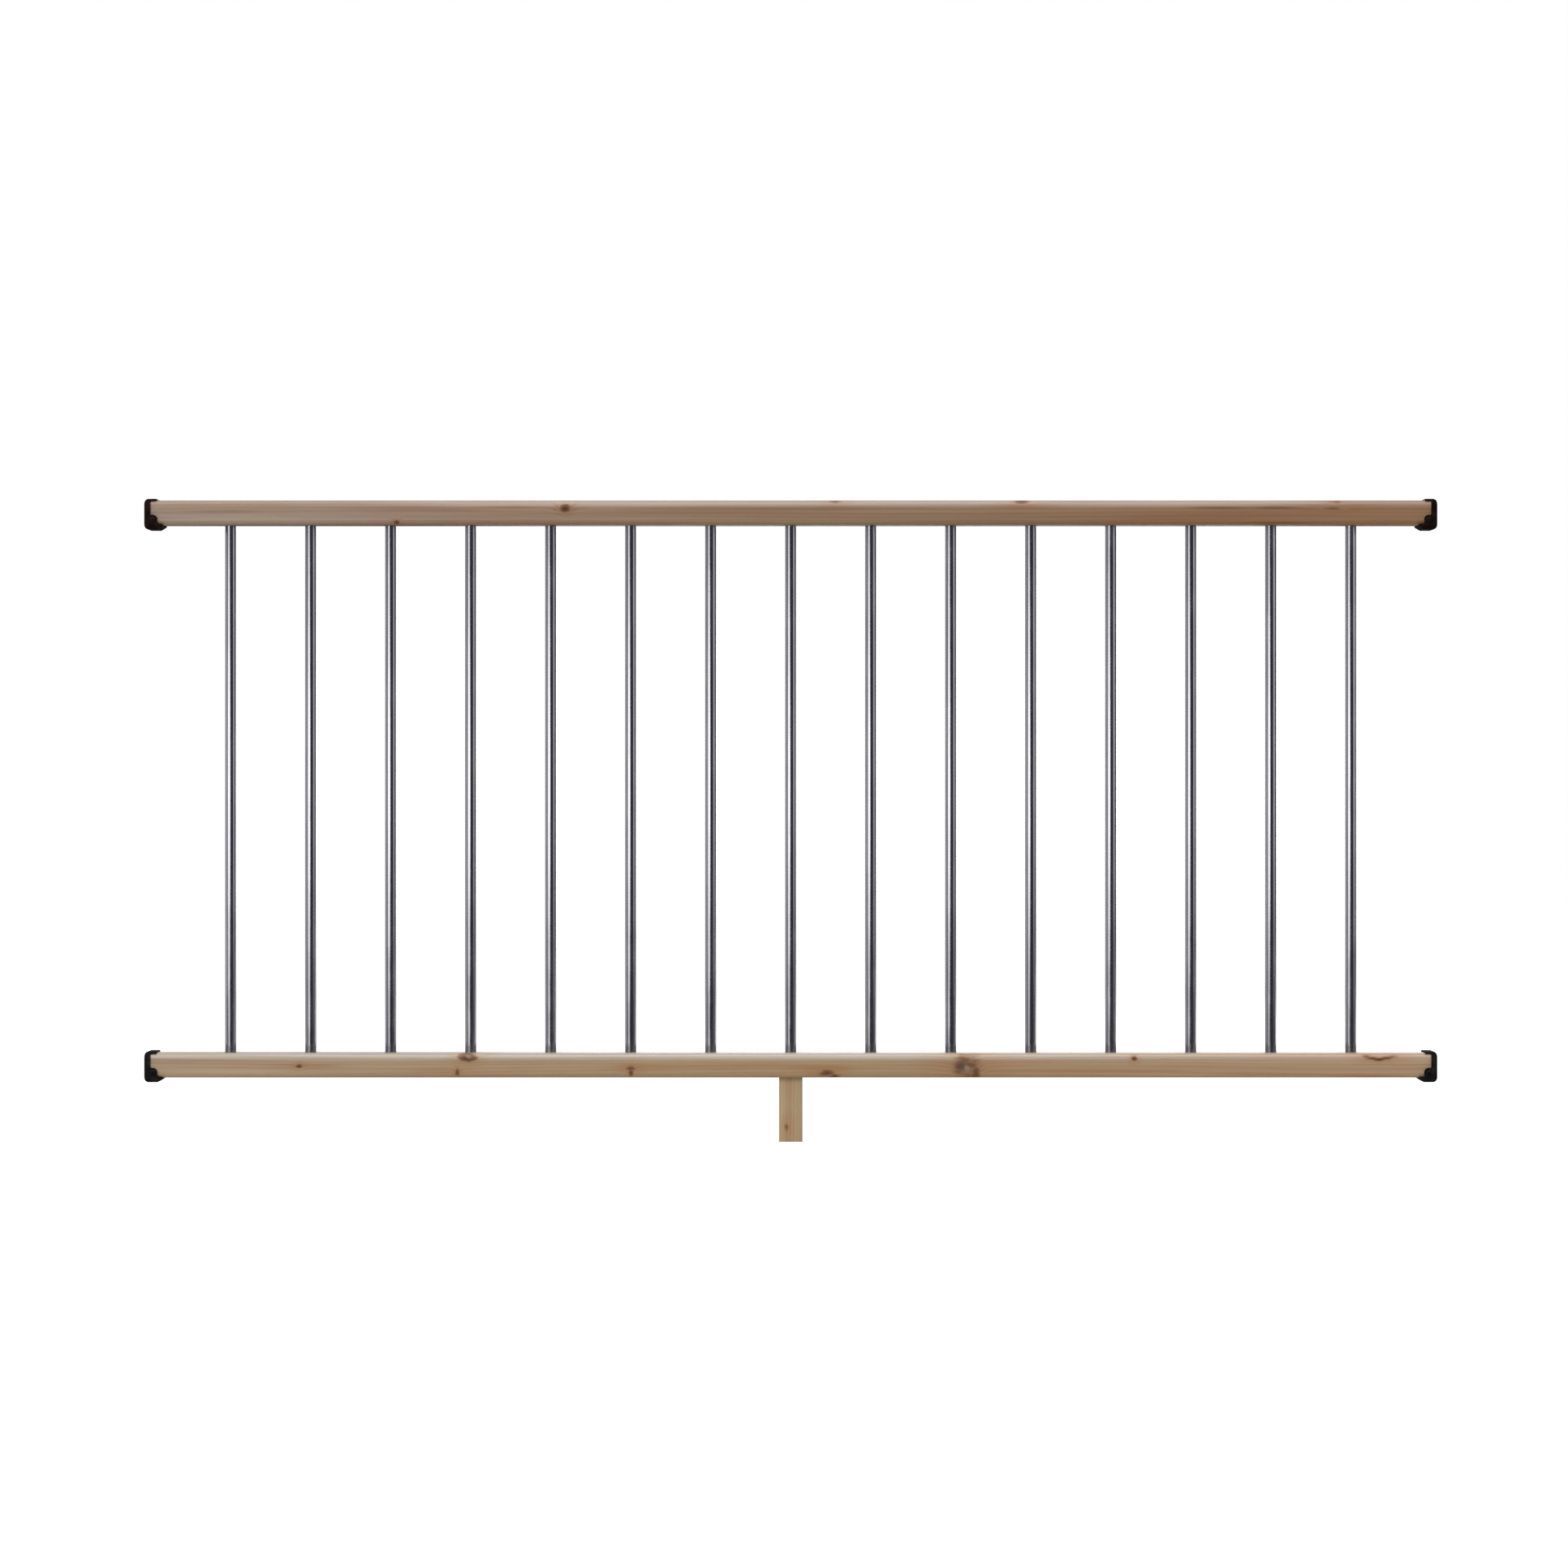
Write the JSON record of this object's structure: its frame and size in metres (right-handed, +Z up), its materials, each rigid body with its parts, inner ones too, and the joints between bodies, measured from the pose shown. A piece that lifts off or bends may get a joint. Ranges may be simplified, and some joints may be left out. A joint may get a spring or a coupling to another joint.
{
  "type": "deck railing section",
  "caption": "Straight deck railing section: cedar rails joined by round metal balusters, with a support block under the lower rail and moulded end brackets that fasten to posts.",
  "frame": {"origin": "on the post face of the lower left bracket, in the middle of its depth and level with the lower rail's centre line", "axes": "+X along the rails from left to right as seen from the front, +Y from front to back, +Z up"},
  "size_m": [1.8415, 0.0764, 0.9167],
  "materials": {
    "cedar_top": "planed cedar, weathered to greyish tan at one end",
    "cedar_bottom": "planed cedar, light tan with small knots",
    "baluster_metal": "dark polished metal, drawn lengthwise",
    "bracket_moulding": "black moulding with a fine satin texture",
    "screw_metal": "black coated steel"
  },
  "bodies": {
    "root": {"top_rail": "cedar_top", "bottom_rail": "cedar_bottom", "support_block": "cedar_bottom", "baluster_01": "baluster_metal", "baluster_02": "baluster_metal", "baluster_03": "baluster_metal", "baluster_04": "baluster_metal", "baluster_05": "baluster_metal", "baluster_06": "baluster_metal", "baluster_07": "baluster_metal", "baluster_08": "baluster_metal", "baluster_09": "baluster_metal", "baluster_10": "baluster_metal", "baluster_11": "baluster_metal", "baluster_12": "baluster_metal", "baluster_13": "baluster_metal", "baluster_14": "baluster_metal", "baluster_15": "baluster_metal", "bracket_bottom_left": "bracket_moulding", "screw_bottom_left_front": "screw_metal", "screw_bottom_left_back": "screw_metal", "bracket_bottom_right": "bracket_moulding", "screw_bottom_right_front": "screw_metal", "screw_bottom_right_back": "screw_metal", "bracket_top_left": "bracket_moulding", "screw_top_left_front": "screw_metal", "screw_top_left_back": "screw_metal", "bracket_top_right": "bracket_moulding", "screw_top_right_front": "screw_metal", "screw_top_right_back": "screw_metal"}
  },
  "joints": []
}
